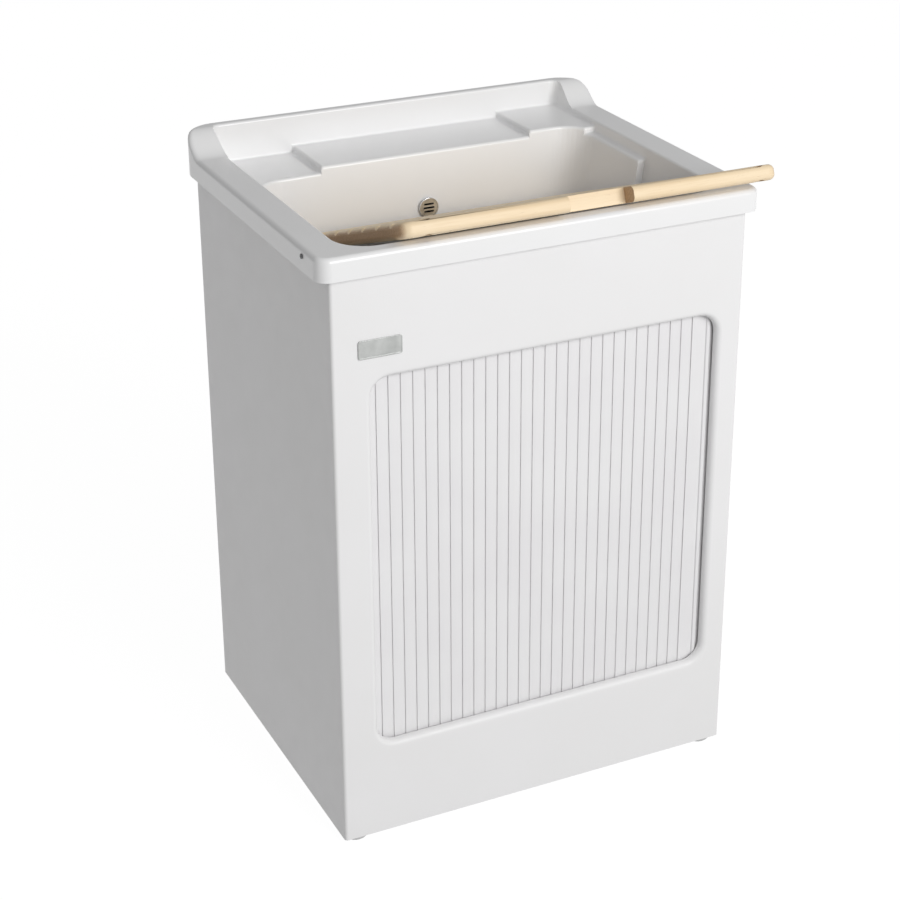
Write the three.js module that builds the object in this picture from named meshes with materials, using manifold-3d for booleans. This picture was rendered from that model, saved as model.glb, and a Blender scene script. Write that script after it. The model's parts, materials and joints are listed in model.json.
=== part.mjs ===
// Laundry sink cabinet: a moulded wash tub with backsplash on a white plastic cabinet, closed by a
// sliding shutter of upright slats, with a drain, overflow and trap underneath and a wooden
// washboard leaning in the tub. Millimetres, +Z up, X to the right, front face towards -Y.
import * as THREE from 'three';
import * as BufferGeometryUtils from 'three/addons/utils/BufferGeometryUtils.js';
import Module from 'manifold-3d';

// Driving dimensions
const CABINET = { width: 568, depth: 462, bottom: 8, frontTop: 785.6, sideTop: 810.4, wall: 12 };
const FRONT = { thickness: 11 };
const WINDOW = { left: -234, right: 250, bottom: 140, top: 652, radius: 26, roll: 7 };
const TUB = { width: 600, front: -240, rear: 252, skirtBottom: 786.6, rimTop: 816, wall: 5 };
const TUB_CORNER = { front: 18, rear: 46, roll: 6 };
const SPLASH = { top: 844, wingStart: 183, wingEnd: 240, face: 235 };
const WELL = { halfWidth: 258, floor: 800 };
const SOAP_TRAY = { right: -146, front: 96, floor: 791 };
const SHELF_BLOCK = { left: 165, front: 112, top: 808 };
const BOWL = { halfWidth: 247, front: -217, rear: 135, floor: 526, radius: 44, floorRound: 26, wall: 4 };
const BOWL_DRAFT = { side: 0.14, front: 0.213, rear: 0.1 };
const BOWL_POCKET = { halfWidth: 255.5, rear: -27 };
const OVERFLOW = { x: 6, z: 724, holeRadius: 10, capRadius: 14 };
const DRAIN = { x: 0, y: -35, holeRadius: 29 };
const SLAT = { count: 28, pitch: 16.4, width: 16.9, thickness: 1.2, step: 1.5, bottom: 131, top: 661 };
const LEAD = { left: 221, right: 252, face: -216, thickness: 1.2, barLeft: 241, barRight: 247.5 };
const TRACK = { left: -268, right: 268, front: -219.4, rear: 180, groove: 6, wall: 2.4, depth: 9, bend: 40 };
const BOARD = { left: -195, right: 320, bodyRight: 215, frontY: -246, frontZ: 827.6 };
const BOARD_SIZE = { thickness: 20, slope: 20.3, length: 376, head: 29, nose: 6 };
const BOARD_GRIP = { left: 25, right: 112, depth: 24 };
const BOARD_GROOVE = { pitch: 46, radius: 6.1, depth: 5, first: 8 };
const BOARD_HOLE = { fromLeft: 32, fromRight: 25, fromFront: 12, radius: 8.7 };
const SERVICE = { halfWidth: 170, bottom: 120, top: 520, radius: 20 };
const BADGE = { left: -250, right: -193, bottom: 681, top: 705, thickness: 1.5 };
const SCREW = { y: -190, z: 806, radius: 3.2, height: 1.4 };
const FOOT = { x: 262, y: 210 };
const GAP = 0.3;

const wasm = await Module();
wasm.setup();

// ---------- materials ----------
const material = (color, roughness, metalness = 0) =>
  new THREE.MeshStandardMaterial({ color, roughness, metalness });
const whiteShell = material(0xf1f1ef, 0.42);
const whiteTub = material(0xf4f4f2, 0.28);
const greyPlastic = material(0xb9bbbd, 0.5);
const chrome = material(0xd5d7da, 0.15, 1);
const rubber = material(0x2b2b2d, 0.8);
const wood = material(0xe2bd86, 0.6);
const steel = material(0x9a9ca0, 0.35, 1);

// ---------- solids: three.js shapes joined and cut ----------
const axes = {
  plan: new THREE.Matrix4(),
  side: new THREE.Matrix4().makeBasis(
    new THREE.Vector3(0, 1, 0), new THREE.Vector3(0, 0, 1), new THREE.Vector3(1, 0, 0)),
  front: new THREE.Matrix4().makeBasis(
    new THREE.Vector3(1, 0, 0), new THREE.Vector3(0, 0, 1), new THREE.Vector3(0, -1, 0)),
};

function toSolid(geometry) {
  const bare = geometry.index ? geometry.toNonIndexed() : geometry.clone();
  bare.deleteAttribute('normal');
  bare.deleteAttribute('uv');
  const merged = BufferGeometryUtils.mergeVertices(bare, 1e-4);
  return new wasm.Manifold(new wasm.Mesh({
    numProp: 3,
    vertProperties: Float32Array.from(merged.attributes.position.array),
    triVerts: Uint32Array.from(merged.index.array),
  }));
}

function toGeometry(solid) {
  const mesh = solid.getMesh();
  const geometry = new THREE.BufferGeometry();
  geometry.setAttribute('position', new THREE.BufferAttribute(mesh.vertProperties, 3));
  geometry.setIndex(new THREE.BufferAttribute(mesh.triVerts, 1));
  return geometry;
}

function piece(name, geometryOrSolid, finish) {
  const geometry = geometryOrSolid.isBufferGeometry ? geometryOrSolid : toGeometry(geometryOrSolid);
  const mesh = new THREE.Mesh(geometry, finish);
  mesh.name = name;
  return mesh;
}

// A block between two corners
function block(x0, x1, y0, y1, z0, z1) {
  const box = new THREE.BoxGeometry(x1 - x0, y1 - y0, z1 - z0);
  return box.translate((x0 + x1) / 2, (y0 + y1) / 2, (z0 + z1) / 2);
}

// A rectangle with its own radius at the low-y and the high-y corners
function roundedRect(x0, x1, y0, y1, lowRadius, highRadius = lowRadius) {
  const shape = new THREE.Shape();
  const [a, b] = [lowRadius, highRadius];
  shape.absarc(x1 - a, y0 + a, a, -Math.PI / 2, 0);
  shape.absarc(x1 - b, y1 - b, b, 0, Math.PI / 2);
  shape.absarc(x0 + b, y1 - b, b, Math.PI / 2, Math.PI);
  shape.absarc(x0 + a, y0 + a, a, Math.PI, Math.PI * 1.5);
  return shape;
}

// An extrusion of a shape along one axis, starting at `start`
function prism(shape, along, start, depth, curveSegments = 6, bevel = 0) {
  const geometry = new THREE.ExtrudeGeometry(shape, {
    depth: depth - 2 * bevel, curveSegments, steps: 1, bevelEnabled: bevel > 0,
    bevelThickness: bevel, bevelSize: bevel, bevelOffset: -bevel, bevelSegments: 3,
  });
  geometry.translate(0, 0, bevel + (along === 'front' ? -start - depth : start));
  return geometry.applyMatrix4(axes[along]);
}

function upright(x, y, z0, z1, radius, segments = 24) {
  const cylinder = new THREE.CylinderGeometry(radius, radius, z1 - z0, segments);
  return cylinder.rotateX(Math.PI / 2).translate(x, y, (z0 + z1) / 2);
}

function alongY(x, z, y0, y1, radius, segments = 24) {
  const cylinder = new THREE.CylinderGeometry(radius, radius, y1 - y0, segments);
  return cylinder.translate(x, (y0 + y1) / 2, z);
}

// A turned piece from [radius, height] pairs, standing on its axis
function turned(points, x, y, segments = 32) {
  const profile = points.map(([radius, height]) => new THREE.Vector2(radius, height));
  const lathe = new THREE.LatheGeometry(profile, segments);
  return lathe.rotateX(Math.PI / 2).translate(x, y, 0);
}

// ---------- tub ----------
// A basin cavity whose walls lean in towards a rounded floor
function bowlShape(halfWidth, front, rear, floor, grow) {
  const outline = roundedRect(
    -halfWidth - grow, halfWidth + grow, front - grow, rear + grow, BOWL.radius + grow);
  const height = TUB.rimTop + 40 - floor + grow;
  const body = prism(outline, 'plan', floor - grow, height, 5, BOWL.floorRound);
  const position = body.attributes.position;
  const centreY = (front + rear) / 2;
  const halfDepth = (rear - front) / 2;
  for (let i = 0; i < position.count; i++) {
    const depth = TUB.rimTop - position.getZ(i);
    const [x, y] = [position.getX(i), position.getY(i) - centreY];
    const lean = y < 0 ? BOWL_DRAFT.front : BOWL_DRAFT.rear;
    position.setX(i, x * (1 - (BOWL_DRAFT.side * depth) / halfWidth));
    position.setY(i, centreY + y * (1 - (lean * depth) / halfDepth));
  }
  return toSolid(body);
}

function bowlPair(grow) {
  const main = bowlShape(BOWL.halfWidth, BOWL.front, BOWL.rear, BOWL.floor, grow);
  const wide = bowlShape(BOWL_POCKET.halfWidth, BOWL.front, BOWL.rear, BOWL.floor, grow);
  const limit = BOWL_POCKET.rear + grow;
  return main.add(wide.intersect(toSolid(block(-300, 300, -300, limit, 0, 900))));
}

// The open space above the shelf, the side ledges, the sunk soap tray and the raised block;
// `wall` thickens it into the moulding that carries them
function shelfSpace(wall) {
  const { halfWidth, floor } = WELL;
  const [y0, y1] = [BOWL_POCKET.rear - wall, SPLASH.face + wall];
  const top = SPLASH.top + 20;
  const main = toSolid(block(-halfWidth - wall, halfWidth + wall, y0, y1, floor - wall, top));
  const tray = toSolid(block(-halfWidth - wall, SOAP_TRAY.right + wall, SOAP_TRAY.front - wall, y1,
    SOAP_TRAY.floor - wall, top));
  if (wall > 0) return main.add(tray);
  const raised = toSolid(block(SHELF_BLOCK.left, halfWidth, SHELF_BLOCK.front, y1, floor - 1,
    SHELF_BLOCK.top));
  return main.add(tray).subtract(raised);
}

function tubBlank() {
  const { width, front, rear, skirtBottom, rimTop } = TUB;
  const plan = roundedRect(-width / 2, width / 2, front, rear, TUB_CORNER.front, TUB_CORNER.rear);
  const rise = new THREE.Shape();
  rise.moveTo(front - 5, skirtBottom);
  rise.lineTo(rear + 5, skirtBottom);
  rise.lineTo(rear + 5, SPLASH.top);
  rise.lineTo(SPLASH.wingEnd, SPLASH.top);
  const middle = (SPLASH.wingStart + SPLASH.wingEnd) / 2;
  rise.bezierCurveTo(middle, SPLASH.top, middle, rimTop, SPLASH.wingStart, rimTop);
  rise.lineTo(front - 5, rimTop);
  const slab = prism(plan, 'plan', skirtBottom - 30, rimTop - skirtBottom + 30, 8, TUB_CORNER.roll);
  const tall = prism(plan, 'plan', skirtBottom - 30, SPLASH.top - skirtBottom + 30, 8, TUB_CORNER.roll);
  const profile = toSolid(prism(rise, 'side', -width, 2 * width, 10));
  const behind = toSolid(block(-width, width, SPLASH.wingStart, rear + 50, 0, 900));
  const floorCut = toSolid(block(-width, width, front - 50, rear + 50, 0, skirtBottom));
  return toSolid(tall).intersect(profile).intersect(behind).add(toSolid(slab)).subtract(floorCut);
}

function tub() {
  const { width, front, rear, wall, rimTop, skirtBottom } = TUB;
  const inset = roundedRect(-width / 2 + wall, width / 2 - wall, front + wall, rear - wall,
    TUB_CORNER.front - wall, TUB_CORNER.rear - wall);
  const aboveRim = toSolid(block(-width, width, -width, width, rimTop - 2, rimTop + 200));
  const bowlOuter = bowlPair(BOWL.wall).subtract(aboveRim);
  const under = toSolid(prism(inset, 'plan', skirtBottom - 20, rimTop - wall - skirtBottom + 20, 8))
    .subtract(shelfSpace(wall)).subtract(bowlOuter);
  const drainHole = toSolid(upright(DRAIN.x, DRAIN.y, BOWL.floor - 30, BOWL.floor + 30, DRAIN.holeRadius));
  const overflowHole = toSolid(
    alongY(OVERFLOW.x, OVERFLOW.z, BOWL.rear - 30, BOWL.rear + 30, OVERFLOW.holeRadius));
  return tubBlank().subtract(under).add(bowlOuter)
    .subtract(bowlPair(0)).subtract(shelfSpace(0))
    .subtract(drainHole).subtract(overflowHole);
}

// ---------- cabinet ----------
function frontFrame() {
  const half = CABINET.width / 2;
  const face = -CABINET.depth / 2;
  const outline = roundedRect(-half, half, CABINET.bottom, CABINET.frontTop, 1);
  const opening = roundedRect(WINDOW.left, WINDOW.right, WINDOW.bottom, WINDOW.top, WINDOW.radius);
  const flare = roundedRect(WINDOW.left - WINDOW.roll, WINDOW.right + WINDOW.roll,
    WINDOW.bottom - WINDOW.roll, WINDOW.top + WINDOW.roll, WINDOW.radius + WINDOW.roll);
  const panel = toSolid(prism(outline, 'front', face, FRONT.thickness, 4));
  const cut = toSolid(prism(opening, 'front', face - 20, FRONT.thickness + 40, 8));
  const roll = toSolid(prism(flare, 'front', face - 2 * WINDOW.roll, 2 * WINDOW.roll + WINDOW.roll, 8,
    WINDOW.roll));
  return panel.subtract(cut).subtract(roll);
}

function sidePanel(side) {
  const outer = (side * CABINET.width) / 2;
  const inner = outer - side * CABINET.wall;
  const front = -CABINET.depth / 2 + FRONT.thickness + GAP;
  return block(Math.min(outer, inner), Math.max(outer, inner), front, CABINET.depth / 2,
    CABINET.bottom, CABINET.sideTop);
}

function backPanel() {
  const half = CABINET.width / 2 - CABINET.wall - GAP;
  const face = CABINET.depth / 2;
  const panel = toSolid(block(-half, half, face - CABINET.wall, face, CABINET.bottom, CABINET.frontTop));
  const service = roundedRect(-SERVICE.halfWidth, SERVICE.halfWidth, SERVICE.bottom, SERVICE.top,
    SERVICE.radius);
  return panel.subtract(toSolid(prism(service, 'front', face - 40, 80, 4)));
}

function bottomPanel() {
  const half = CABINET.width / 2 - CABINET.wall - GAP;
  const [front, back] = [-CABINET.depth / 2 + FRONT.thickness + GAP, CABINET.depth / 2 - CABINET.wall - GAP];
  return block(-half, half, front, back, CABINET.bottom, CABINET.bottom + CABINET.wall);
}

function foot(x, y) {
  return turned([[0, 0], [15, 0], [17, 2], [17, 5], [13, CABINET.bottom - GAP], [0, CABINET.bottom - GAP]],
    x, y, 20);
}

// ---------- shutter ----------
// A strip along the front that turns the front-left corner and runs back along the side
function trackStrip(near, far) {
  const { left, right, front, rear, bend } = TRACK;
  const shape = new THREE.Shape();
  const [cornerX, cornerY] = [left + bend, front + bend];
  shape.moveTo(right, front + near);
  shape.lineTo(cornerX, front + near);
  shape.absarc(cornerX, cornerY, bend - near, Math.PI * 1.5, Math.PI, true);
  shape.lineTo(left + near, rear);
  shape.lineTo(left + far, rear);
  shape.absarc(cornerX, cornerY, bend - far, Math.PI, Math.PI * 1.5, false);
  shape.lineTo(right, front + far);
  shape.closePath();
  return shape;
}

// A curved U-channel, open towards the shutter: floor plus two upstands
function track(z0, z1, openUp) {
  const { wall, groove } = TRACK;
  const width = groove + 2 * wall;
  const body = toSolid(prism(trackStrip(0, width), 'plan', z0, z1 - z0, 6));
  const slot = prism(trackStrip(wall, wall + groove), 'plan', openUp ? z0 + wall : z0 - 1,
    z1 - z0 - wall + 1, 6);
  return body.subtract(toSolid(slot));
}

// A thin slat, its left edge standing forward of its right edge by one step
function slat(index) {
  const { pitch, width, thickness, step, bottom, top } = SLAT;
  const left = LEAD.left - pitch * (SLAT.count + 1 - index);
  const lean = (step * width) / pitch;
  const shape = new THREE.Shape();
  shape.moveTo(left + 0.5, LEAD.face);
  shape.lineTo(left + width, LEAD.face + lean);
  shape.lineTo(left + width, LEAD.face + lean + thickness);
  shape.lineTo(left, LEAD.face + thickness);
  shape.lineTo(left, LEAD.face + 0.4);
  shape.closePath();
  return prism(shape, 'plan', bottom, top - bottom);
}

function leadingSlat() {
  const { left, right, face, thickness, barLeft, barRight } = LEAD;
  const shape = new THREE.Shape();
  shape.moveTo(left, face);
  shape.lineTo(barLeft, face);
  shape.lineTo(barLeft + 1, face - 2);
  shape.lineTo(barRight - 1, face - 2);
  shape.lineTo(barRight, face);
  shape.lineTo(right, face);
  shape.lineTo(right, face + 6);
  shape.lineTo(right - 3, face + 6);
  shape.lineTo(right - 3, face + thickness);
  shape.lineTo(left, face + thickness);
  shape.closePath();
  return prism(shape, 'plan', SLAT.bottom, SLAT.top - SLAT.bottom);
}

// ---------- washboard ----------
// Drawn flat in board space: x across, y down the slope from the front edge, z out of the top face
function washboard() {
  const { left, right, bodyRight } = BOARD;
  const { thickness, length, head, nose, slope } = BOARD_SIZE;
  const outline = new THREE.Shape();
  outline.moveTo(left + 14, 0);
  outline.lineTo(right - 14, 0);
  outline.absarc(right - 14, 14, 14, -Math.PI / 2, 0);
  outline.absarc(right - 10, head - 10, 10, 0, Math.PI / 2);
  outline.lineTo(bodyRight + 8, head);
  outline.lineTo(bodyRight, head + 8);
  outline.absarc(bodyRight - 10, length - 10, 10, 0, Math.PI / 2);
  outline.absarc(left + 10, length - 10, 10, Math.PI / 2, Math.PI);
  outline.absarc(left + 14, 14, 14, Math.PI, Math.PI * 1.5);
  let board = toSolid(prism(outline, 'plan', 0, thickness, 5));
  const round = new THREE.Shape();
  round.moveTo(-5, -5);
  round.lineTo(nose, -5);
  round.lineTo(nose, 0);
  round.absarc(nose, nose, nose, Math.PI * 1.5, Math.PI, true);
  round.lineTo(-5, nose);
  round.closePath();
  const lower = toSolid(prism(round, 'side', left - 20, right - left + 40, 4));
  const upper = toSolid(prism(round, 'side', left - 20, right - left + 40, 4))
    .mirror([0, 0, 1]).translate([0, 0, thickness]);
  board = board.subtract(lower).subtract(upper);
  for (const x of [left + BOARD_HOLE.fromLeft, right - BOARD_HOLE.fromRight]) {
    board = board.subtract(
      toSolid(upright(x, BOARD_HOLE.fromFront, -5, thickness + 5, BOARD_HOLE.radius, 16)));
  }
  const grip = block(BOARD_GRIP.left, BOARD_GRIP.right, -10, BOARD_GRIP.depth, -5, thickness + 5);
  board = board.subtract(toSolid(grip));
  const { pitch, radius, depth, first } = BOARD_GROOVE;
  for (let y = head + first; y < length - 20; y += pitch) {
    const groove = new THREE.CylinderGeometry(radius, radius, bodyRight - left + 40, 16)
      .rotateZ(Math.PI / 2)
      .translate((left + bodyRight) / 2, y, thickness + radius - depth);
    board = board.subtract(toSolid(groove));
  }
  const placed = toGeometry(board).rotateX(THREE.MathUtils.degToRad(-slope));
  return placed.translate(0, BOARD.frontY, BOARD.frontZ);
}

// ---------- drain, overflow and trap ----------
function drainPieces() {
  const { x, y } = DRAIN;
  const floor = BOWL.floor;
  const flange = turned([[16, floor - 40], [24, floor - 40], [25.8, floor - 30], [25.8, floor + GAP],
    [40, floor + GAP], [40, floor + 1.6], [32, floor + 3], [22, floor + 1], [16, floor - 6],
    [16, floor - 40]], x, y);
  const gasket = turned([[28, floor - BOWL.wall - GAP - 4], [40, floor - BOWL.wall - GAP - 4],
    [40, floor - BOWL.wall - GAP], [28, floor - BOWL.wall - GAP],
    [28, floor - BOWL.wall - GAP - 4]], x, y);
  const nut = turned([[27.4, floor - 27], [42, floor - 27], [44, floor - 24], [44, floor - 12],
    [40, floor - BOWL.wall - 4.8], [27.4, floor - BOWL.wall - 4.8], [27.4, floor - 27]], x, y, 24);
  const plug = turned([[0, floor - 3], [14, floor - 3], [15.4, floor + 2], [20, floor + 3.4],
    [20, floor + 6], [12, floor + 8], [4, floor + 9], [4, floor + 15], [7, floor + 18],
    [4, floor + 22], [0, floor + 22]], x, y);
  return [
    piece('drain_flange', flange, chrome), piece('drain_gasket', gasket, rubber),
    piece('drain_nut', nut, greyPlastic), piece('drain_plug', plug, rubber),
  ];
}

function trapPieces() {
  const { x, y } = DRAIN;
  const top = BOWL.floor - 40 - GAP;
  const tailTop = turned([[14, top - 70], [24, top - 70], [24, top - 10], [27, top - 6], [27, top],
    [14, top], [14, top - 70]], x, y);
  const bodyTop = top - 70 - GAP;
  const shell = turned([[30, bodyTop - 70], [34, bodyTop - 70], [34, bodyTop - 8], [26, bodyTop],
    [18, bodyTop], [18, bodyTop - 4], [30, bodyTop - 12], [30, bodyTop - 70]], x, y);
  const outletZ = bodyTop - 34;
  const socket = toSolid(alongY(x, outletZ, y + 31, y + 74, 20));
  const bore = toSolid(alongY(x, outletZ, y + 20, y + 80, 16.4));
  const body = toSolid(shell).add(socket).subtract(bore);
  const cupTop = bodyTop - 70 - GAP;
  const cup = turned([[0, cupTop - 52], [22, cupTop - 52], [33, cupTop - 44], [36, cupTop - 12],
    [39, cupTop - 10], [39, cupTop], [30, cupTop], [29, cupTop - 40], [0, cupTop - 46]], x, y);
  const wallFace = CABINET.depth / 2;
  const pipe = toSolid(alongY(x, outletZ, y + 40, wallFace + 16, 16)).subtract(
    toSolid(alongY(x, outletZ, y + 30, wallFace + 30, 13.5)));
  return [
    piece('tailpiece', tailTop, greyPlastic), piece('trap_body', body, whiteShell),
    piece('trap_cup', cup, whiteShell), piece('outlet_pipe', pipe, greyPlastic),
  ];
}

// The wall of the bowl leans in, so the overflow sits where the leaning wall is at its height
function overflowPieces() {
  const { x, z, capRadius, holeRadius } = OVERFLOW;
  const wallY = BOWL.rear - BOWL_DRAFT.rear * (TUB.rimTop - z);
  const disc = toSolid(alongY(x, z, wallY - 5, wallY - 1.6, capRadius));
  const stem = toSolid(alongY(x, z, wallY - 3, wallY + 14, holeRadius - 0.6));
  let cap = disc.add(stem).subtract(toSolid(alongY(x, z, wallY - 2.6, wallY + 30, holeRadius - 3)));
  for (const offset of [-5.2, 0, 5.2]) {
    cap = cap.subtract(toSolid(block(x - 8, x + 8, wallY - 9, wallY, z + offset - 1.3, z + offset + 1.3)));
  }
  const back = wallY + BOWL.wall + 3;
  const cupShell = toSolid(alongY(x, z, back, back + 22, 17)).subtract(
    toSolid(alongY(x, z, back - 2, back + 18, 13)));
  const stub = toSolid(upright(x, back + 11, z - 44, z - 10, 10));
  const stubBore = toSolid(upright(x, back + 11, z - 50, z - 6, 7));
  const elbow = cupShell.add(stub).subtract(stubBore);
  const start = new THREE.Vector3(x, back + 11, z - 44 - GAP);
  const nutZ = BOWL.floor - 19;
  const end = new THREE.Vector3(DRAIN.x, DRAIN.y + 46, nutZ);
  const route = new THREE.CatmullRomCurve3([
    start, new THREE.Vector3(x, start.y, start.z - 60), new THREE.Vector3(x, start.y, nutZ + 30),
    new THREE.Vector3(x * 0.7, start.y - 22, nutZ), new THREE.Vector3(x * 0.3, end.y + 30, nutZ), end,
  ]);
  const ring = new THREE.Shape();
  ring.absarc(0, 0, 9, 0, Math.PI * 2);
  const pipe = new THREE.ExtrudeGeometry(ring, { extrudePath: route, steps: 28, curveSegments: 6 });
  return [
    piece('overflow_cap', cap, chrome), piece('overflow_elbow', elbow, greyPlastic),
    piece('overflow_pipe', pipe, greyPlastic),
  ];
}

// ---------- small fittings ----------
function badge() {
  const face = -CABINET.depth / 2 - GAP;
  const { left, right, bottom, top, thickness } = BADGE;
  return prism(roundedRect(left, right, bottom, top, 3), 'front', face - thickness, thickness, 4);
}

function skirtScrew(side) {
  const { y, z, radius, height } = SCREW;
  const head = new THREE.CylinderGeometry(radius, radius, height, 12).rotateZ(Math.PI / 2);
  return head.translate(side * (TUB.width / 2 + GAP + height / 2), y, z);
}

const sink = new THREE.Group();
sink.add(piece('basin', tub(), whiteTub));
sink.add(piece('front_frame', frontFrame(), whiteShell));
sink.add(piece('left_side_panel', sidePanel(-1), whiteShell));
sink.add(piece('right_side_panel', sidePanel(1), whiteShell));
sink.add(piece('back_panel', backPanel(), whiteShell));
sink.add(piece('bottom_panel', bottomPanel(), whiteShell));
sink.add(piece('lower_track', track(SLAT.bottom - 1 - TRACK.depth, SLAT.bottom - 1, true), greyPlastic));
sink.add(piece('upper_track', track(SLAT.top + 1, SLAT.top + 1 + TRACK.depth, false), greyPlastic));
for (let index = 1; index <= SLAT.count; index++) {
  sink.add(piece(`slat_${String(index).padStart(2, '0')}`, slat(index), whiteShell));
}
sink.add(piece('leading_slat', leadingSlat(), whiteShell));
sink.add(piece('washboard', washboard(), wood));
sink.add(...drainPieces(), ...trapPieces(), ...overflowPieces());
sink.add(piece('badge_plate', badge(), whiteTub));
sink.add(piece('skirt_screw_left', skirtScrew(-1), steel));
sink.add(piece('skirt_screw_right', skirtScrew(1), steel));
for (const [name, x, y] of [['front_left', -FOOT.x, -FOOT.y], ['front_right', FOOT.x, -FOOT.y],
  ['rear_left', -FOOT.x, FOOT.y], ['rear_right', FOOT.x, FOOT.y]]) {
  sink.add(piece(`foot_${name}`, foot(x, y), greyPlastic));
}

// The origin is the middle of the whole part's footprint, on the floor
const middle = new THREE.Box3().setFromObject(sink).getCenter(new THREE.Vector3());
sink.position.set(-middle.x, -middle.y, 0);

export default sink;
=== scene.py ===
import json
from math import cos, radians, sin

import bpy
from mathutils import Matrix, Vector

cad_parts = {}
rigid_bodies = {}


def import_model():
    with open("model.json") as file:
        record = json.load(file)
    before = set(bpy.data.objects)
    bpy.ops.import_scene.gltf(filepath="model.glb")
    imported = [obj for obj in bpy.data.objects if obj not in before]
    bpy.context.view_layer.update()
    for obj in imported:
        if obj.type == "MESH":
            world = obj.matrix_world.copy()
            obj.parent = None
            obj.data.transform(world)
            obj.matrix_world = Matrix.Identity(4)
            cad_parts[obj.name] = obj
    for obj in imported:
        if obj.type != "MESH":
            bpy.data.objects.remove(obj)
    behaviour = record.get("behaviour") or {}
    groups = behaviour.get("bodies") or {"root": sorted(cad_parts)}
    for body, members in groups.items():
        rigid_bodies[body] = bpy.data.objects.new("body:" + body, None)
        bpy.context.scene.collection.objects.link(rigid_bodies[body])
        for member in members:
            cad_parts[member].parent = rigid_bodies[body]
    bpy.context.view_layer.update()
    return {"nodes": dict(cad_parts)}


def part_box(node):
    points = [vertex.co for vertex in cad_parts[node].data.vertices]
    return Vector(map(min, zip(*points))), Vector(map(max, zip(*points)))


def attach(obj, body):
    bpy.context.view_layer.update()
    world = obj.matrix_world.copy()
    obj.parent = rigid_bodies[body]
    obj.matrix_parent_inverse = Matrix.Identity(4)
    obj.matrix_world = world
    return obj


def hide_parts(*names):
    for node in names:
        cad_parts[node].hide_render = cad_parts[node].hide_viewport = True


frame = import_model()
print("frame loaded:", len(frame["nodes"]), "nodes")

# The cabinet's centre on the floor. Every size below is in metres from here.
frontLow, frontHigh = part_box("front_frame")
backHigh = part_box("back_panel")[1]
home = Vector(((frontLow.x + frontHigh.x) / 2, (frontLow.y + backHigh.y) / 2, 0))
hair = 0.0001  # two places closer than this are the same


# Ways of working on a mesh
def only(piece):
    bpy.ops.object.select_all(action="DESELECT")
    piece.select_set(True)
    bpy.context.view_layer.objects.active = piece


def named(name):
    piece = bpy.context.object
    piece.name = name
    piece.data.name = name
    only(piece)
    bpy.ops.object.transform_apply(location=True, rotation=True, scale=True)
    return piece


def block(name, x, y, z):
    bpy.ops.object.select_all(action="DESELECT")
    low, high = Vector((x[0], y[0], z[0])), Vector((x[1], y[1], z[1]))
    bpy.ops.mesh.primitive_cube_add(size=1, location=home + (low + high) / 2, scale=high - low)
    return named(name)


def rod(name, start, end, radius, sides=32):
    bpy.ops.object.select_all(action="DESELECT")
    start, end = Vector(start), Vector(end)
    run = end - start
    bpy.ops.mesh.primitive_cylinder_add(
        vertices=sides, radius=radius, depth=run.length, location=home + (start + end) / 2,
        rotation=run.to_track_quat("Z", "Y").to_euler())
    return named(name)


# Selects what passes the test, by its corners and normal, and stays in edit mode
def pick(piece, kind, wanted, sharpOnly=0):
    only(piece)
    bpy.ops.object.mode_set(mode="EDIT")
    bpy.ops.mesh.select_mode(type=kind)
    bpy.ops.mesh.select_all(action="DESELECT")
    if sharpOnly:
        bpy.ops.mesh.edges_select_sharp(sharpness=radians(sharpOnly))
    bpy.ops.object.mode_set(mode="OBJECT")
    spots = [corner.co - home for corner in piece.data.vertices]
    parts = piece.data.edges if kind == "EDGE" else piece.data.polygons
    for part in parts:
        kept = part.select or not sharpOnly
        part.select = bool(kept and wanted([spots[i] for i in part.vertices], part))
    bpy.ops.object.mode_set(mode="EDIT")


def done():
    bpy.ops.object.mode_set(mode="OBJECT")


def roundEdges(piece, width, steps, wanted, sharpOnly=0):
    pick(piece, "EDGE", wanted, sharpOnly)
    bpy.ops.mesh.bevel(offset=width, offset_type="OFFSET", segments=steps, affect="EDGES",
                       clamp_overlap=False)
    done()


def isUpright(ends):
    return abs(ends[0].x - ends[1].x) < hair and abs(ends[0].y - ends[1].y) < hair


def runsBack(ends, part):
    return abs(ends[0].y - ends[1].y) > 0.001


def allAt(ends, axis, value):
    return all(abs(spot[axis] - value) < hair for spot in ends)


def combine(piece, tool, how):
    only(piece)
    change = piece.modifiers.new("change", "BOOLEAN")
    change.operation = how
    change.solver = "MANIFOLD"
    change.object = tool
    bpy.ops.object.modifier_apply(modifier=change.name)
    bpy.data.objects.remove(tool, do_unlink=True)
    return piece


def cutAway(piece, tool):
    return combine(piece, tool, "DIFFERENCE")


def joinTo(piece, tool):
    return combine(piece, tool, "UNION")


def mergeDoubles(piece):
    only(piece)
    bpy.ops.object.mode_set(mode="EDIT")
    bpy.ops.mesh.select_all(action="SELECT")
    bpy.ops.mesh.remove_doubles(threshold=0.00001)
    bpy.ops.mesh.dissolve_limited(angle_limit=radians(0.5))
    bpy.ops.mesh.normals_make_consistent(inside=False)
    done()


def softEdges(piece, width, steps, angle=30):
    only(piece)
    soft = piece.modifiers.new("softEdges", "BEVEL")
    soft.width = width
    soft.segments = steps
    soft.limit_method = "ANGLE"
    soft.angle_limit = radians(angle)
    bpy.ops.object.modifier_apply(modifier=soft.name)


def smooth(piece, angle=35):
    only(piece)
    bpy.ops.object.shade_smooth_by_angle(angle=radians(angle))


def evenNormals(piece):
    only(piece)
    even = piece.modifiers.new("evenNormals", "WEIGHTED_NORMAL")
    even.keep_sharp = True
    bpy.ops.object.modifier_apply(modifier=even.name)


def finishPiece(piece, material, body, nodes):
    piece.data.materials.clear()
    piece.data.materials.append(material)
    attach(piece, body)
    if nodes:
        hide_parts(*nodes)
    return piece


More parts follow.
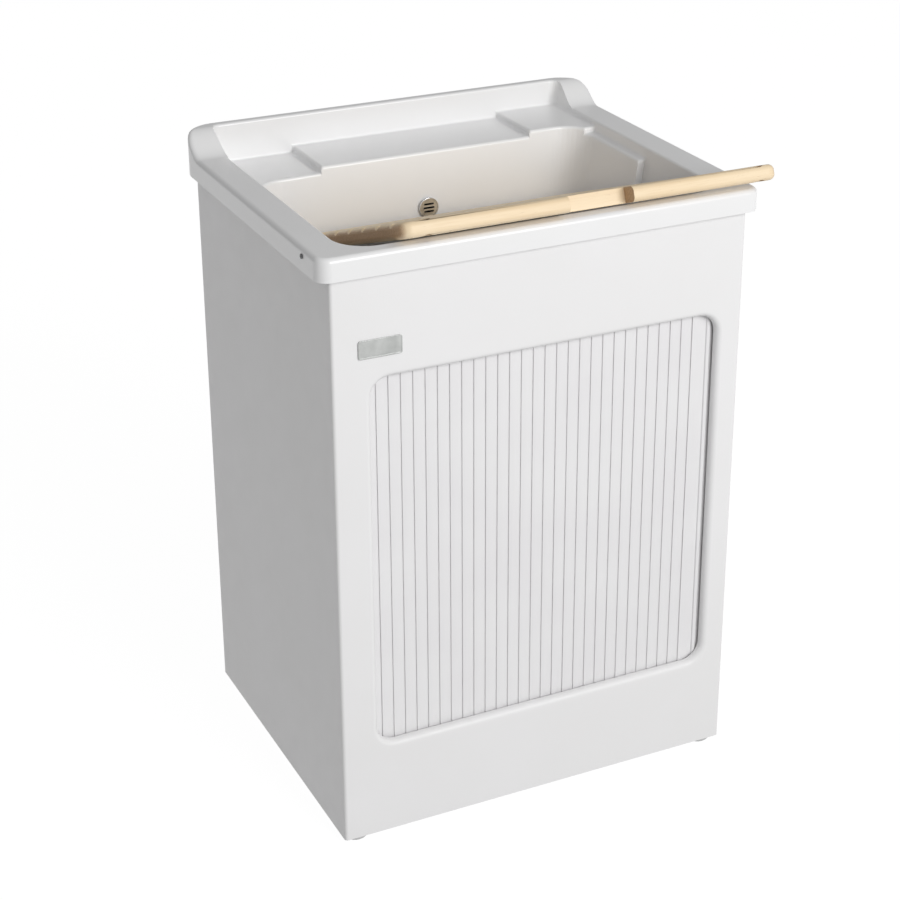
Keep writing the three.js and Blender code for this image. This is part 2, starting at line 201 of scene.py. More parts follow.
# Finishes, with every pattern in the object's own coordinates
def newFinish(name):
    finish = bpy.data.materials.new(name)
    finish.use_nodes = True
    tree = finish.node_tree
    return finish, tree, tree.nodes["Principled BSDF"]


def addNode(tree, kind, **inputs):
    made = tree.nodes.new(kind)
    for socket, value in inputs.items():
        target = made.inputs[socket.replace("_", " ")]
        if isinstance(value, bpy.types.NodeSocket):
            tree.links.new(value, target)
        else:
            target.default_value = value
    return made


def place(tree, stretch=(1, 1, 1)):
    spot = tree.nodes.new("ShaderNodeTexCoord")
    turned = addNode(tree, "ShaderNodeMapping", Vector=spot.outputs["Object"])
    turned.inputs["Scale"].default_value = stretch
    return turned.outputs["Vector"]


def noise(tree, where, scale, detail=3.0, rough=0.5, twist=0.0):
    made = addNode(tree, "ShaderNodeTexNoise", Vector=where, Scale=scale, Detail=detail,
                   Roughness=rough, Distortion=twist)
    return made.outputs["Fac"]


def remap(tree, value, fromLow, fromHigh, toLow, toHigh):
    made = addNode(tree, "ShaderNodeMapRange", Value=value)
    ends = (("From Min", fromLow), ("From Max", fromHigh), ("To Min", toLow), ("To Max", toHigh))
    for socket, number in ends:
        made.inputs[socket].default_value = number
    return made.outputs["Result"]


def blendColour(tree, share, first, second):
    made = tree.nodes.new("ShaderNodeMix")
    made.data_type = "RGBA"
    tree.links.new(share, made.inputs["Factor"])
    for socket, value in (("A", first), ("B", second)):
        target = [s for s in made.inputs if s.name == socket and s.type == "RGBA"][0]
        if isinstance(value, bpy.types.NodeSocket):
            tree.links.new(value, target)
        else:
            target.default_value = (*value, 1)
    return [s for s in made.outputs if s.type == "RGBA"][0]


def bump(tree, height, depth, strength=1.0, under=None):
    made = addNode(tree, "ShaderNodeBump", Height=height, Distance=depth, Strength=strength)
    if under is not None:
        tree.links.new(under, made.inputs["Normal"])
    return made.outputs["Normal"]


# Moulded or extruded plastic: slow mottling, fine surface grain, faint rubbed streaks
def plasticFinish(name, values):
    finish, tree, shader = newFinish(name)
    where = place(tree)
    mottle = noise(tree, where, values["mottle"], 4.0)
    haze = noise(tree, where, values["mottle"] * 9, 5.0, 0.6)
    grain = noise(tree, where, values["grain"], 2.0)
    streaks = noise(tree, place(tree, values["streaks"]), 1.0, 6.0, 0.7)
    share = remap(tree, mottle, 0.35, 0.65, 0.0, 1.0)
    base = blendColour(tree, share, values["colour"], values["shade"])
    rubbed = remap(tree, streaks, 0.66, 0.85, 0.0, values["worn"])
    base = blendColour(tree, rubbed, base, values["rubbed"])
    tree.links.new(base, shader.inputs["Base Color"])
    tree.links.new(remap(tree, haze, 0.3, 0.7, *values["roughness"]), shader.inputs["Roughness"])
    normal = bump(tree, grain, values["grainDepth"], 0.5)
    normal = bump(tree, mottle, values["wave"], 0.35, normal)
    scratch = values.get("scratch", 0.12)
    normal = bump(tree, streaks, values["grainDepth"] * 0.3, scratch, normal)
    tree.links.new(normal, shader.inputs["Normal"])
    shader.inputs["IOR"].default_value = 1.49
    shader.inputs["Coat Weight"].default_value = values.get("coat", 0.0)
    shader.inputs["Coat Roughness"].default_value = 0.2
    return finish


tubGloss = plasticFinish("tubGloss", {
    "colour": (0.885, 0.885, 0.89), "shade": (0.87, 0.87, 0.87), "rubbed": (0.84, 0.84, 0.84),
    "roughness": (0.28, 0.33), "mottle": 7.0, "grain": 900.0, "grainDepth": 0.00002, "wave": 0.0001,
    "streaks": (18, 240, 60), "coat": 0.25, "worn": 0.015, "scratch": 0.01})
cabinetSatin = plasticFinish("cabinetSatin", {
    "colour": (0.86, 0.855, 0.86), "shade": (0.845, 0.84, 0.84), "rubbed": (0.80, 0.80, 0.80),
    "roughness": (0.38, 0.52), "mottle": 5.0, "grain": 700.0, "grainDepth": 0.00012, "wave": 0.0008,
    "streaks": (30, 30, 220), "worn": 0.1})
slatSatin = plasticFinish("slatSatin", {
    "colour": (0.83, 0.825, 0.83), "shade": (0.81, 0.80, 0.81), "rubbed": (0.76, 0.76, 0.76),
    "roughness": (0.34, 0.5), "mottle": 11.0, "grain": 800.0, "grainDepth": 0.0001, "wave": 0.0004,
    "streaks": (420, 60, 9), "worn": 0.12})
greyMoulded = plasticFinish("greyMoulded", {
    "colour": (0.5, 0.51, 0.52), "shade": (0.44, 0.45, 0.46), "rubbed": (0.6, 0.6, 0.6),
    "roughness": (0.42, 0.6), "mottle": 24.0, "grain": 1100.0, "grainDepth": 0.0001, "wave": 0.0003,
    "streaks": (60, 60, 60), "worn": 0.22})
trapWhite = plasticFinish("trapWhite", {
    "colour": (0.82, 0.82, 0.8), "shade": (0.77, 0.77, 0.74), "rubbed": (0.68, 0.67, 0.62),
    "roughness": (0.3, 0.46), "mottle": 22.0, "grain": 1000.0, "grainDepth": 0.00008, "wave": 0.0003,
    "streaks": (70, 70, 35), "worn": 0.22})
footPlastic = plasticFinish("footPlastic", {
    "colour": (0.6, 0.6, 0.6), "shade": (0.52, 0.52, 0.52), "rubbed": (0.36, 0.35, 0.33),
    "roughness": (0.4, 0.6), "mottle": 60.0, "grain": 1200.0, "grainDepth": 0.00008, "wave": 0.0002,
    "streaks": (90, 90, 260), "worn": 0.3})


def metalFinish(name, values):
    finish, tree, shader = newFinish(name)
    brushed = noise(tree, place(tree, values["brush"]), 1.0, 5.0, 0.65)
    smudge = noise(tree, place(tree), values["smudge"], 4.0)
    dulled = remap(tree, smudge, 0.35, 0.7, 0.0, 1.0)
    base = blendColour(tree, dulled, values["colour"], values["dull"])
    tree.links.new(base, shader.inputs["Base Color"])
    tree.links.new(remap(tree, brushed, 0.3, 0.7, *values["roughness"]), shader.inputs["Roughness"])
    tree.links.new(bump(tree, brushed, values["depth"], 0.4), shader.inputs["Normal"])
    shader.inputs["Metallic"].default_value = values["metal"]
    return finish


chromePlate = metalFinish("chromePlate", {
    "colour": (0.8, 0.81, 0.83), "dull": (0.66, 0.67, 0.69), "metal": 1.0, "roughness": (0.08, 0.22),
    "brush": (300, 300, 300), "smudge": 60.0, "depth": 0.00002})
screwSteel = metalFinish("screwSteel", {
    "colour": (0.2, 0.2, 0.21), "dull": (0.12, 0.12, 0.12), "metal": 0.8, "roughness": (0.35, 0.55),
    "brush": (600, 2500, 600), "smudge": 300.0, "depth": 0.00004})
badgeSilver = metalFinish("badgeSilver", {
    "colour": (0.52, 0.53, 0.52), "dull": (0.42, 0.43, 0.42), "metal": 0.6, "roughness": (0.3, 0.48),
    "brush": (40, 1500, 1500), "smudge": 70.0, "depth": 0.00003})


def rubberFinish():
    finish, tree, shader = newFinish("blackRubber")
    bloom = noise(tree, place(tree), 55.0, 6.0, 0.65)
    grit = noise(tree, place(tree), 1400.0, 2.0)
    bloomed = remap(tree, bloom, 0.4, 0.75, 0.0, 1.0)
    base = blendColour(tree, bloomed, (0.022, 0.022, 0.024), (0.06, 0.06, 0.06))
    tree.links.new(base, shader.inputs["Base Color"])
    tree.links.new(remap(tree, bloom, 0.3, 0.7, 0.6, 0.85), shader.inputs["Roughness"])
    tree.links.new(bump(tree, grit, 0.0001, 0.6), shader.inputs["Normal"])
    return finish


blackRubber = rubberFinish()


# Light wood: long grain lines, short dark flecks, darker ends where the grain is cut across, made darker
# still by painted shade on these side-facing ends
wood = {"pale": (0.93, 0.77, 0.54), "grain": (0.86, 0.67, 0.43), "fibre": (0.74, 0.53, 0.31),
        "fleck": (0.5, 0.32, 0.17), "blotch": (0.95, 0.8, 0.58), "end": (0.6, 0.39, 0.22),
        "pore": (0.42, 0.25, 0.13)}


def woodFinish():
    finish, tree, shader = newFinish("beechWood")
    lines = noise(tree, place(tree, (1.6, 34, 34)), 1.0, 7.0, 0.62, 0.6)
    fibres = noise(tree, place(tree, (22, 620, 620)), 1.0, 4.0, 0.7)
    flecks = noise(tree, place(tree, (70, 900, 900)), 1.0, 2.0, 0.5)
    blotch = noise(tree, place(tree), 9.0, 3.0)
    base = blendColour(tree, remap(tree, lines, 0.36, 0.66, 0.0, 1.0), wood["pale"], wood["grain"])
    base = blendColour(tree, remap(tree, fibres, 0.5, 0.8, 0.0, 0.5), base, wood["fibre"])
    base = blendColour(tree, remap(tree, flecks, 0.68, 0.74, 0.0, 0.45), base, wood["fleck"])
    base = blendColour(tree, remap(tree, blotch, 0.35, 0.7, 0.0, 0.3), base, wood["blotch"])
    facing = tree.nodes.new("ShaderNodeTexCoord")
    split = addNode(tree, "ShaderNodeSeparateXYZ", Vector=facing.outputs["Normal"])
    across = addNode(tree, "ShaderNodeMath")
    across.operation = "ABSOLUTE"
    tree.links.new(split.outputs["X"], across.inputs[0])
    # mask of the faces across the grain, which face the sides: real end-grain colour plus painted shade
    endGrainAndShade = remap(tree, across.outputs["Value"], 0.55, 0.98, 0.0, 1.0)
    pores = noise(tree, place(tree, (500, 500, 500)), 1.0, 3.0, 0.6)
    # the end colour with its pores, darker than end grain alone because painted shade is added
    endColourAndShade = blendColour(tree, remap(tree, pores, 0.35, 0.7, 0.0, 1.0), wood["end"], wood["pore"])
    base = blendColour(tree, endGrainAndShade, base, endColourAndShade)
    tree.links.new(base, shader.inputs["Base Color"])
    tree.links.new(remap(tree, fibres, 0.3, 0.8, 0.4, 0.58), shader.inputs["Roughness"])
    normal = bump(tree, fibres, 0.00012, 0.5)
    normal = bump(tree, lines, 0.0003, 0.3, normal)
    tree.links.new(normal, shader.inputs["Normal"])
    return finish


beechWood = woodFinish()
print("finishes made")

# The moulded tub
tubSizes = {
    "half": 0.300, "front": -0.240, "rear": 0.252, "skirtBottom": 0.7866, "rim": 0.816, "top": 0.844,
    "frontCorner": 0.018, "rearCorner": 0.046, "outerRound": 0.007, "wall": 0.005,
    "wingFoot": 0.178, "wingHead": 0.2335, "wingStrips": 18,
    "bowlHalf": 0.247, "bowlFront": -0.217, "bowlRear": 0.135, "bowlFloor": 0.526, "bowlCorner": 0.044,
    "floorRound": 0.026, "bowlWall": 0.004, "leanSide": 0.14, "leanFront": 0.213, "leanRear": 0.1,
    "pocketHalf": 0.257, "pocketRear": -0.027, "shelf": 0.800, "splash": 0.235,
    "shelfCorner": 0.012, "shelfAhead": 0.002, "tray": 0.791, "trayRight": -0.146, "trayFront": 0.096,
    "raised": 0.808, "raisedLeft": 0.165,
    "raisedFront": 0.112, "lip": 0.0042, "edge": 0.0035,
    "drain": (0, -0.035), "drainRadius": 0.029, "overflow": (0.006, 0.724), "overflowRadius": 0.010,
    "spare": 0.03, "clear": 0.4}  # how far a cutting shape runs past what it cuts


def roundUprights(piece, width, steps, wanted=lambda spot: True):
    roundEdges(piece, width, steps, lambda ends, part: isUpright(ends) and wanted(ends[0]))


# The bowl as a solid: its walls lean in towards a rounded floor. `grow` makes the outside of the wall.
def bowlForm(name, half, grow):
    t = tubSizes
    top = t["rim"] + 0.04
    front, rear = t["bowlFront"] - grow, t["bowlRear"] + grow
    floor = t["bowlFloor"] - grow
    middle, halfDepth = (front + rear) / 2, (rear - front) / 2
    form = block(name, (-half - grow, half + grow), (front, rear), (floor, top))
    roundUprights(form, t["bowlCorner"] + grow, 10)
    for level in (top, floor):
        depth = t["rim"] - level
        low = front + t["leanFront"] * depth
        high = rear - t["leanRear"] * depth
        pick(form, "FACE", lambda spots, part: allAt(spots, 2, level))
        bpy.ops.transform.resize(value=((half + grow - t["leanSide"] * depth) / (half + grow),
                                        (high - low) / 2 / halfDepth, 1))
        bpy.ops.transform.translate(value=(0, (high + low) / 2 - middle, 0))
        done()
    roundEdges(form, t["floorRound"], 6, lambda ends, part: allAt(ends, 2, floor))
    return form


def bowlPair(name, grow):
    t = tubSizes
    wide = bowlForm(name + "Wide", t["pocketHalf"], grow)
    only(wide)
    bpy.ops.object.mode_set(mode="EDIT")
    bpy.ops.mesh.select_all(action="SELECT")
    bpy.ops.mesh.bisect(plane_co=home + Vector((0, t["pocketRear"] + grow, 0)), plane_no=(0, 1, 0),
                        use_fill=True, clear_outer=True)
    done()
    return joinTo(bowlForm(name, t["bowlHalf"], grow), wide)


# The open space over the shelf and side ledges, with the sunk soap tray and the raised block.
# Its side walls lean like the bowl's. `wall` thickens it into the moulding that carries them.
def shelfForm(name, wall):
    t = tubSizes
    half, rear, top = t["pocketHalf"] + wall, t["splash"] + wall, t["top"] + 0.02
    form = block(name, (-half, half), (t["pocketRear"] - wall - t["shelfAhead"], rear),
                 (t["shelf"] - wall, top))
    roundUprights(form, t["shelfCorner"] + wall, 6, lambda spot: spot.y > 0)
    for level in (t["shelf"] - wall, top):
        pick(form, "FACE", lambda spots, part: allAt(spots, 2, level))
        bpy.ops.transform.resize(value=((half - t["leanSide"] * (t["rim"] - level)) / half, 1, 1))
        done()
    tray = block(name + "Tray", (-half, t["trayRight"] + wall), (t["trayFront"] - wall, rear),
                 (t["tray"] - wall, t["shelf"] + 0.001))
    roundUprights(tray, t["shelfCorner"] + wall, 6, lambda spot: spot.y > 0.2 and spot.x < -0.2)
    # drawn in to meet the leaning walls at the height of the shelf
    for corner in tray.data.vertices:
        corner.co.x -= (corner.co.x - home.x) * t["leanSide"] * (t["rim"] - t["shelf"]) / half
    joinTo(form, tray)
    if wall == 0:
        raised = block(name + "Raised", (t["raisedLeft"], half + t["spare"]),
                       (t["raisedFront"], rear + t["spare"]), (t["shelf"] - 0.01, t["raised"]))
        cutAway(form, raised)
    return form


def makeTub():
    t = tubSizes
    tub = block("tubMoulding", (-t["half"], t["half"]), (t["front"], t["rear"]),
                (t["skirtBottom"], t["top"]))
    roundUprights(tub, t["frontCorner"], 8, lambda spot: spot.y < 0)
    roundUprights(tub, t["rearCorner"], 14, lambda spot: spot.y > 0.1)
    roundEdges(tub, t["outerRound"], 5, lambda ends, part: allAt(ends, 2, t["top"]))
    # the backsplash: cut the top across in narrow strips, and let it down to the rim in front of the wings
    only(tub)
    bpy.ops.object.mode_set(mode="EDIT")
    for strip in range(t["wingStrips"] + 1):
        y = t["wingFoot"] + (t["wingHead"] - t["wingFoot"]) * strip / t["wingStrips"]
        bpy.ops.mesh.select_all(action="SELECT")
        bpy.ops.mesh.bisect(plane_co=home + Vector((0, y, 0)), plane_no=(0, 1, 0))
    done()
    for corner in tub.data.vertices:
        if corner.co.z > t["skirtBottom"] + hair:
            share = (t["wingHead"] - (corner.co.y - home.y)) / (t["wingHead"] - t["wingFoot"])
            share = min(1, max(0, share))
            corner.co.z -= (t["top"] - t["rim"]) * (3 - 2 * share) * share ** 2
    only(tub)
    bpy.ops.object.mode_set(mode="EDIT")
    bpy.ops.mesh.select_all(action="SELECT")
    bpy.ops.mesh.quads_convert_to_tris()
    done()
    print("  blank", len(tub.data.polygons))

    cutAway(tub, bowlPair("bowlInside", 0))
    cutAway(tub, shelfForm("shelfSpace", 0))
    mergeDoubles(tub)
    # rounded: the rim, shelf, tray, raised block and wings, but not the feet of the small steps
    levels = (t["rim"], t["shelf"], t["tray"], t["raised"])

    def isInner(ends, part):
        inside = all(abs(s.x) < t["pocketHalf"] + hair and t["bowlFront"] - hair < s.y < t["splash"] + hair
                     for s in ends)
        onLevel = all(any(abs(s.z - level) < hair for level in levels)
                      or s.y > t["wingFoot"] and s.z > t["rim"] - hair for s in ends)
        onShelf = allAt(ends, 2, t["shelf"])
        raisedFoot = onShelf and (allAt(ends, 1, t["raisedFront"]) or allAt(ends, 0, t["raisedLeft"]))
        ledgeFoot = onShelf and all(abs(s.x) > t["bowlHalf"] for s in ends)
        trayFoot = allAt(ends, 2, t["tray"]) and (allAt(ends, 1, t["trayFront"])
                                                  or all(s.x > t["trayRight"] - hair for s in ends))
        return inside and onLevel and not (raisedFoot or trayFoot or ledgeFoot)
    roundEdges(tub, t["edge"], 3, isInner, 30)

    # the underside: hollow below the rim and shelf, with the bowl's own wall added back
    wall = t["wall"]
    hollow = block("hollow", (-t["half"] + wall, t["half"] - wall), (t["front"] + wall, t["rear"] - wall),
                   (t["skirtBottom"] - 0.02, t["rim"] - wall))
    roundUprights(hollow, t["frontCorner"] - wall, 8, lambda spot: spot.y < 0)
    roundUprights(hollow, t["rearCorner"] - wall, 14, lambda spot: spot.y > 0.1)
    cutAway(hollow, shelfForm("shelfMould", wall))
    cutAway(hollow, bowlPair("bowlOutside", t["bowlWall"]))
    cutAway(tub, hollow)
    shell = bowlPair("bowlShell", t["bowlWall"])
    clear, spare = t["clear"], t["spare"]
    cutAway(shell, block("aboveRim", (-clear, clear), (-clear, clear), (t["rim"] - t["lip"], t["rim"] + 0.2)))
    cutAway(shell, bowlPair("bowlInside", 0))
    lowered = shelfForm("shelfLowered", 0)
    only(lowered)
    lowered.location.z = -t["lip"]
    bpy.ops.object.transform_apply(location=True, rotation=True, scale=True)
    cutAway(shell, lowered)
    joinTo(tub, shell)
    x, y = t["drain"]
    cutAway(tub, rod("drainHole", (x, y, t["bowlFloor"] - spare), (x, y, t["bowlFloor"] + spare),
                     t["drainRadius"], 48))
    x, z = t["overflow"]
    cutAway(tub, rod("overflowHole", (x, t["bowlRear"] - spare, z), (x, t["bowlRear"] + spare, z),
                     t["overflowRadius"], 32))
    smooth(tub, 40)
    evenNormals(tub)
    return finishPiece(tub, tubGloss, "cabinet", ["basin"])


makeTub()
print("tub made")

# The cabinet is one wrap for the front and both sides
wrapSizes = {
    "half": 0.284, "front": -0.231, "rear": 0.231, "bottom": 0.008, "frontTop": 0.7856, "sideTop": 0.8104,
    "wall": 0.012, "frontWall": 0.011, "corner": 0.0045, "left": -0.234, "right": 0.250, "low": 0.140,
    "high": 0.652, "windowCorner": 0.026, "roll": 0.007, "surround": 0.012}


def makeWrap():
    w = wrapSizes
    behindFront = w["front"] + w["frontWall"]
    wrap = block("cabinetWrap", (-w["half"], w["half"]), (w["front"], w["rear"]),
                 (w["bottom"], w["sideTop"]))
    roundUprights(wrap, w["corner"], 5, lambda spot: spot.y < 0)
    inner = w["half"] - w["wall"]
    cutAway(wrap, block("room", (-inner, inner), (behindFront, 0.3), (-0.1, 1)))
    cutAway(wrap, block("frontDrop", (-0.4, 0.4), (-0.3, behindFront), (w["frontTop"], 1)))
    # the window has its own surround, so that its rolled edge is rounded on a clean ring of faces
    lip = w["surround"]
    outline = {"x": (w["left"] - lip, w["right"] + lip), "z": (w["low"] - lip, w["high"] + lip)}

    def surroundBlock(name, y):
        piece = block(name, outline["x"], y, outline["z"])
        roundEdges(piece, w["windowCorner"] + lip, 12, runsBack)
        return piece
    cutAway(wrap, surroundBlock("windowGap", (-0.3, -0.2)))
    ring = surroundBlock("windowRing", (w["front"], behindFront))
    pick(ring, "FACE", lambda spots, part: abs(part.normal.y) > 0.9)
    bpy.ops.mesh.inset(thickness=lip)
    bpy.ops.mesh.bridge_edge_loops()
    done()

    def isWindowEdge(ends, part):
        return allAt(ends, 1, w["front"]) and all(
            w["left"] - hair < s.x < w["right"] + hair and w["low"] - hair < s.z < w["high"] + hair
            for s in ends)
    roundEdges(ring, w["roll"], 6, isWindowEdge)
    joinTo(wrap, ring)
    smooth(wrap, 35)
    evenNormals(wrap)
    return finishPiece(wrap, cabinetSatin, "cabinet",
                       ["front_frame", "left_side_panel", "right_side_panel"])


makeWrap()
print("cabinet wrap made")


# A piece worked up from its own solid: merged, its flats cleaned, its edges softened and smoothed
def workUp(node, name, width, steps, finish, body="cabinet"):
    source = frame["nodes"][node]
    only(source)
    bpy.ops.object.duplicate()
    piece = bpy.context.object
    for key in list(piece.keys()):
        del piece[key]
    piece.parent = None
    piece.name = name
    piece.data.name = name
    mergeDoubles(piece)
    softEdges(piece, width, steps)
    smooth(piece, 35)
    evenNormals(piece)
    return finishPiece(piece, finish, body, [node])


workUp("back_panel", "backPanel", 0.0012, 2, cabinetSatin)
workUp("bottom_panel", "bottomPanel", 0.0012, 2, cabinetSatin)
for end in ("lower", "upper"):
    workUp(end + "_track", end + "Track", 0.0004, 2, greyMoulded)
plumbing = (
    ("drain_flange", "drainFlange", chromePlate, "chromed"),
    ("drain_nut", "drainNut", greyMoulded, "grey_plastic"),
    ("drain_gasket", "drainGasket", blackRubber, "black_rubber"),
    ("tailpiece", "tailpiecePipe", greyMoulded, "grey_plastic"),
    ("trap_body", "trapBody", trapWhite, "trap_white"),
    ("trap_cup", "trapCup", trapWhite, "trap_white"),
    ("outlet_pipe", "outletPipe", greyMoulded, "grey_plastic"),
    ("overflow_elbow", "overflowElbow", greyMoulded, "grey_plastic"),
    ("overflow_pipe", "overflowPipe", greyMoulded, "grey_plastic"),
)
for node, name, finish, slot in plumbing:
    workUp(node, name, 0.0005, 2, finish)
workUp("drain_plug", "drainPlug", 0.0005, 2, blackRubber, "drain_plug")
for corner in ("front_left", "front_right", "rear_left", "rear_right"):
    first, second = corner.split("_")
    name = "foot" + first.title() + second.title()
    workUp("foot_" + corner, name, 0.0006, 2, footPlastic)
print("panels, tracks, plumbing and feet worked up")

# The sliding shutter
slatSizes = {"count": 28, "pitch": 0.0164, "width": 0.0169, "thick": 0.0012, "step": 0.0015, "face": -0.216,
             "bottom": 0.131, "top": 0.661, "leadLeft": 0.221, "frontRound": 0.00045, "edgeRound": 0.0002}


def makeSlats():
    s = slatSizes
    left = s["leadLeft"] - s["pitch"] * s["count"]
    right = left + s["width"]
    first = block("slat01", (left, right), (s["face"], s["face"] + s["thick"]), (s["bottom"], s["top"]))
    # the right edge leans back, under the next slat
    pick(first, "FACE", lambda spots, part: allAt(spots, 0, right))
    bpy.ops.transform.translate(value=(0, s["step"] * s["width"] / s["pitch"], 0))
    done()
    roundEdges(first, s["frontRound"], 3, lambda ends, part: isUpright(ends) and ends[0].y < s["face"] + hair)
    roundEdges(first, s["edgeRound"], 2, lambda ends, part: isUpright(ends) and ends[0].x > right - hair)
    smooth(first, 50)
    for index in range(2, s["count"] + 1):
        only(first)
        bpy.ops.object.duplicate(linked=False)
        slat = bpy.context.object
        slat.name = f"slat{index:02d}"
        slat.data.name = slat.name
        slat.location = (s["pitch"] * (index - 1), 0, 0)
        only(slat)
        bpy.ops.object.transform_apply(location=True, rotation=True, scale=True)
    for index in range(1, s["count"] + 1):
        finishPiece(bpy.data.objects[f"slat{index:02d}"], slatSatin, f"slat_{index:02d}",
                    [f"slat_{index:02d}"])


makeSlats()
workUp("leading_slat", "leadingSlat", 0.0004, 2, slatSatin, "leading_slat")
print("shutter made")

# The washboard, modelled flat and then leant into the tub
boardSizes = {
    "left": -0.195, "right": 0.320, "bodyRight": 0.215, "thick": 0.020, "head": 0.029, "length": 0.376,
    "slope": 20.3, "front": -0.246, "height": 0.8276, "nose": 0.0075, "corner": 0.014, "rearCorner": 0.010,
    "gripLeft": 0.025, "gripRight": 0.112, "gripDepth": 0.024, "holeLeft": 0.032, "holeRight": 0.025,
    "holeFront": 0.012, "holeRadius": 0.0087, "groovePitch": 0.046, "grooveFirst": 0.037,
    "grooveRadius": 0.0061, "grooveDepth": 0.005, "grooveEnd": 0.02, "innerCorner": 0.008, "arris": 0.0009,
    "spare": 0.01}  # how far a cutting shape runs past what it cuts


def makeWashboard():
    b = boardSizes
    board = block("washboardPlank", (b["left"], b["bodyRight"]), (0, b["length"]), (0, b["thick"]))
    roundUprights(board, b["rearCorner"], 6, lambda spot: spot.y > 0.1)
    head = block("head", (b["left"], b["right"]), (0, b["head"]), (0, b["thick"]))
    roundUprights(head, b["rearCorner"], 6, lambda spot: spot.y > 0.02 and spot.x > 0.25)
    joinTo(board, head)
    mergeDoubles(board)
    roundUprights(board, b["corner"], 8, lambda spot: spot.y < hair)
    roundUprights(board, b["innerCorner"], 5,
                  lambda spot: abs(spot.x - b["bodyRight"]) < hair and abs(spot.y - b["head"]) < hair)
    roundEdges(board, b["nose"], 7, lambda ends, part: all(s.y < b["corner"] + hair for s in ends)
               and (allAt(ends, 2, 0) or allAt(ends, 2, b["thick"])), 30)
    low, high = -b["spare"], b["thick"] + b["spare"]
    for x in (b["left"] + b["holeLeft"], b["right"] - b["holeRight"]):
        cutAway(board, rod("hole", (x, b["holeFront"], low), (x, b["holeFront"], high), b["holeRadius"], 40))
    cutAway(board, block("grip", (b["gripLeft"], b["gripRight"]), (low, b["gripDepth"]), (low, high)))
    level = b["thick"] + b["grooveRadius"] - b["grooveDepth"]
    start, end = b["left"] - b["grooveEnd"], b["bodyRight"] + b["grooveEnd"]
    y = b["grooveFirst"]
    while y < b["length"] - b["grooveEnd"]:
        cutAway(board, rod("groove", (start, y, level), (end, y, level), b["grooveRadius"], 24))
        y += b["groovePitch"]
    mergeDoubles(board)
    roundEdges(board, b["arris"], 2, lambda ends, part: True, 40)
    board.data.transform(Matrix.Translation(home + Vector((0, b["front"], b["height"])))
                         @ Matrix.Rotation(radians(-b["slope"]), 4, "X") @ Matrix.Translation(-home))
    smooth(board, 40)
    evenNormals(board)
    return finishPiece(board, beechWood, "washboard", ["washboard"])


makeWashboard()
print("washboard made")

# Small fittings
capLow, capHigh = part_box("overflow_cap")
capSizes = {"radius": 0.014, "rim": 0.0016, "thick": 0.0034, "dish": 0.0008, "stem": 0.0092,
            "slotHalf": 0.0082, "slotHigh": 0.0026, "slotPitch": 0.0052}


def makeOverflowCap():
    c = capSizes
    x, z = tubSizes["overflow"]
    face = capLow.y - home.y
    back = face + c["thick"]
    cap = rod("overflowCap", (x, face, z), (x, back, z), c["radius"], 64)
    pick(cap, "FACE", lambda spots, part: part.normal.y < -0.9)
    bpy.ops.mesh.inset(thickness=c["rim"])
    bpy.ops.mesh.extrude_region_move(TRANSFORM_OT_translate={"value": (0, c["dish"], 0)})
    bpy.ops.mesh.inset(thickness=0.0004)
    done()
    roundEdges(cap, 0.0004, 2, lambda ends, part: True, 50)
    joinTo(cap, rod("stem", (x, back - 0.001, z), (x, capHigh.y - home.y, z), c["stem"], 40))
    for step in (-1, 0, 1):
        level = z + step * c["slotPitch"]
        half = c["slotHalf"] if step == 0 else c["slotHalf"] - 0.001
        slit = block("slit", (x - half, x + half), (face - 0.002, back + 0.03),
                     (level - c["slotHigh"] / 2, level + c["slotHigh"] / 2))
        roundEdges(slit, 0.001, 4, runsBack)
        cutAway(cap, slit)
    mergeDoubles(cap)
    smooth(cap, 35)
    return finishPiece(cap, chromePlate, "cabinet", ["overflow_cap"])


makeOverflowCap()


def makeBadge():
    low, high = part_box("badge_plate")
    low, high = low - home, high - home
    plate = block("badgePlate", (low.x, high.x), (low.y, high.y), (low.z, high.z))
    roundEdges(plate, 0.003, 6, runsBack)
    pick(plate, "FACE", lambda spots, part: part.normal.y < -0.9)
    bpy.ops.mesh.inset(thickness=0.0016)
    bpy.ops.mesh.extrude_region_move(TRANSFORM_OT_translate={"value": (0, 0.0005, 0)})
    bpy.ops.mesh.inset(thickness=0.0005)
    done()
    roundEdges(plate, 0.00025, 2, lambda ends, part: True, 50)
    smooth(plate, 35)
    return finishPiece(plate, badgeSilver, "cabinet", ["badge_plate"])


makeBadge()


def makeScrew(side):
    low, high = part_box("skirt_screw_" + side)
    low, high = low - home, high - home
    y, z = (low.y + high.y) / 2, (low.z + high.z) / 2
    screw = rod("skirtScrew" + side.title(), (low.x, y, z), (high.x, y, z), (high.y - low.y) / 2, 32)
    outer = high.x if side == "right" else low.x
    roundEdges(screw, 0.0006, 3, lambda ends, part: allAt(ends, 0, outer))
    # a cross recess
    deep, reach, slim = 0.0007, 0.0021, 0.00035
    for wide, tall in ((reach, slim), (slim, reach)):
        cutAway(screw, block("recess", (outer - deep, outer + deep), (y - wide, y + wide),
                             (z - tall, z + tall)))
    mergeDoubles(screw)
    smooth(screw, 35)
    return finishPiece(screw, screwSteel, "cabinet", ["skirt_screw_" + side])


makeScrew("left")
makeScrew("right")
print("small fittings made")


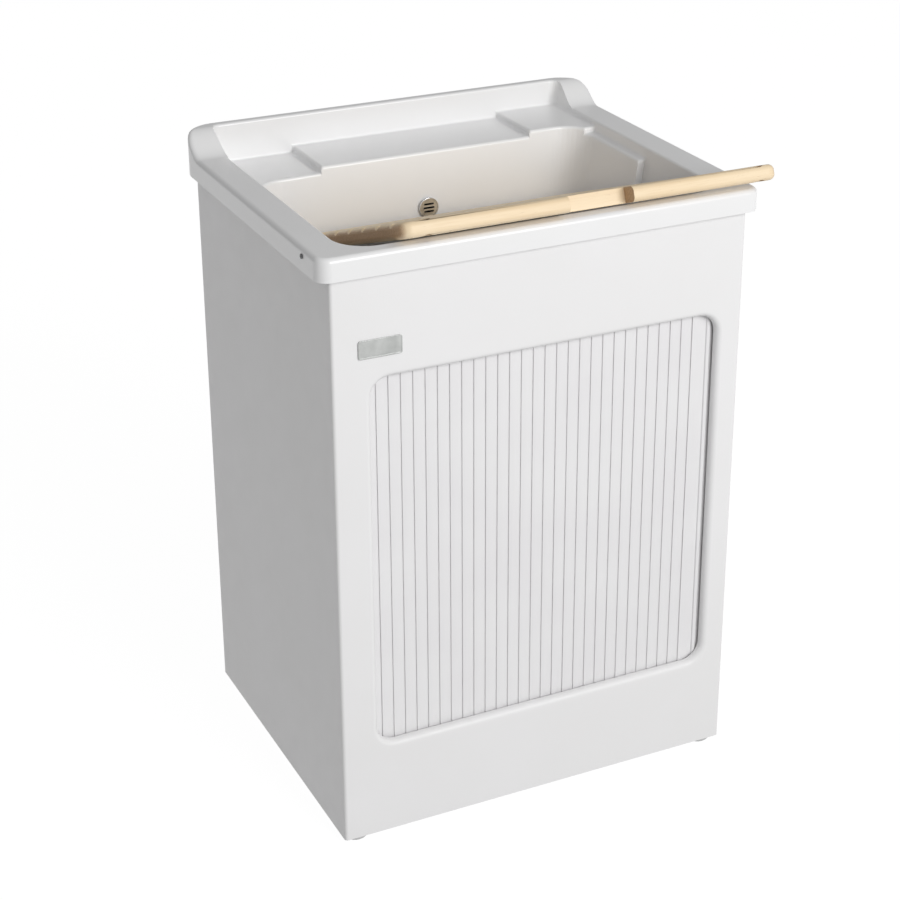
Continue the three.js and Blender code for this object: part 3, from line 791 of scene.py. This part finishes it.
# Floor, light and camera
def floorFinish():
    finish, tree, shader = newFinish("studioFloor")
    cloud = noise(tree, place(tree), 0.7, 2.0)
    base = blendColour(tree, cloud, (0.10, 0.10, 0.10), (0.12, 0.12, 0.12))
    tree.links.new(base, shader.inputs["Base Color"])
    shader.inputs["Roughness"].default_value = 0.9
    shader.inputs["Specular IOR Level"].default_value = 0.1
    shader.inputs["Emission Color"].default_value = (1, 1, 1, 1)
    shader.inputs["Emission Strength"].default_value = 0.95
    return finish


bpy.ops.object.select_all(action="DESELECT")
bpy.ops.mesh.primitive_plane_add(size=30, location=(0, 0, 0))
floor = named("studioFloor")
floor.data.materials.append(floorFinish())
floor.visible_diffuse = False  # the even light from below is the world's

lights = {
    "key": {"turn": 14, "height": 24, "distance": 4.2, "size": 2.0, "power": 108},
}
middle = home + Vector((0, 0, 0.5))
for name, light in lights.items():
    turn, height = radians(light["turn"]), radians(light["height"])
    away = Vector((sin(turn) * cos(height), -cos(turn) * cos(height), sin(height)))
    bpy.ops.object.light_add(type="AREA", location=middle + away * light["distance"])
    lamp = bpy.context.object
    lamp.name = name + "Light"
    lamp.rotation_euler = away.to_track_quat("Z", "Y").to_euler()
    lamp.data.shape = "SQUARE"
    lamp.data.size = light["size"]
    lamp.data.energy = light["power"]

scene = bpy.context.scene
scene.world = bpy.data.worlds.new("studioWorld")
scene.world.use_nodes = True
scene.world.node_tree.nodes["Background"].inputs["Color"].default_value = (1, 1, 1, 1)
scene.world.node_tree.nodes["Background"].inputs["Strength"].default_value = 0.365
scene.view_settings.view_transform = "Standard"

cameraSizes = {"spot": (-1.1037, -2.2915, 1.6287), "turn": 25.739, "tip": 23.602, "roll": -0.126,
               "lens": 82.31, "shift": (-0.01667, -0.0778)}
turn, tip, roll = (radians(cameraSizes[key]) for key in ("turn", "tip", "roll"))
forward = Vector((sin(turn) * cos(tip), cos(turn) * cos(tip), -sin(tip)))
right = Vector((cos(turn), -sin(turn), 0))
up = right.cross(forward)
right, up = right * cos(roll) + up * sin(roll), up * cos(roll) - right * sin(roll)
bpy.ops.object.camera_add()
camera = bpy.context.object
camera.name = "mainCamera"
facing = Matrix((right, up, -forward)).transposed().to_4x4()
camera.matrix_world = Matrix.Translation(home + Vector(cameraSizes["spot"])) @ facing
camera.data.lens = cameraSizes["lens"]
camera.data.sensor_width = 36
camera.data.shift_x, camera.data.shift_y = cameraSizes["shift"]
scene.camera = camera
print("floor, light and camera set")
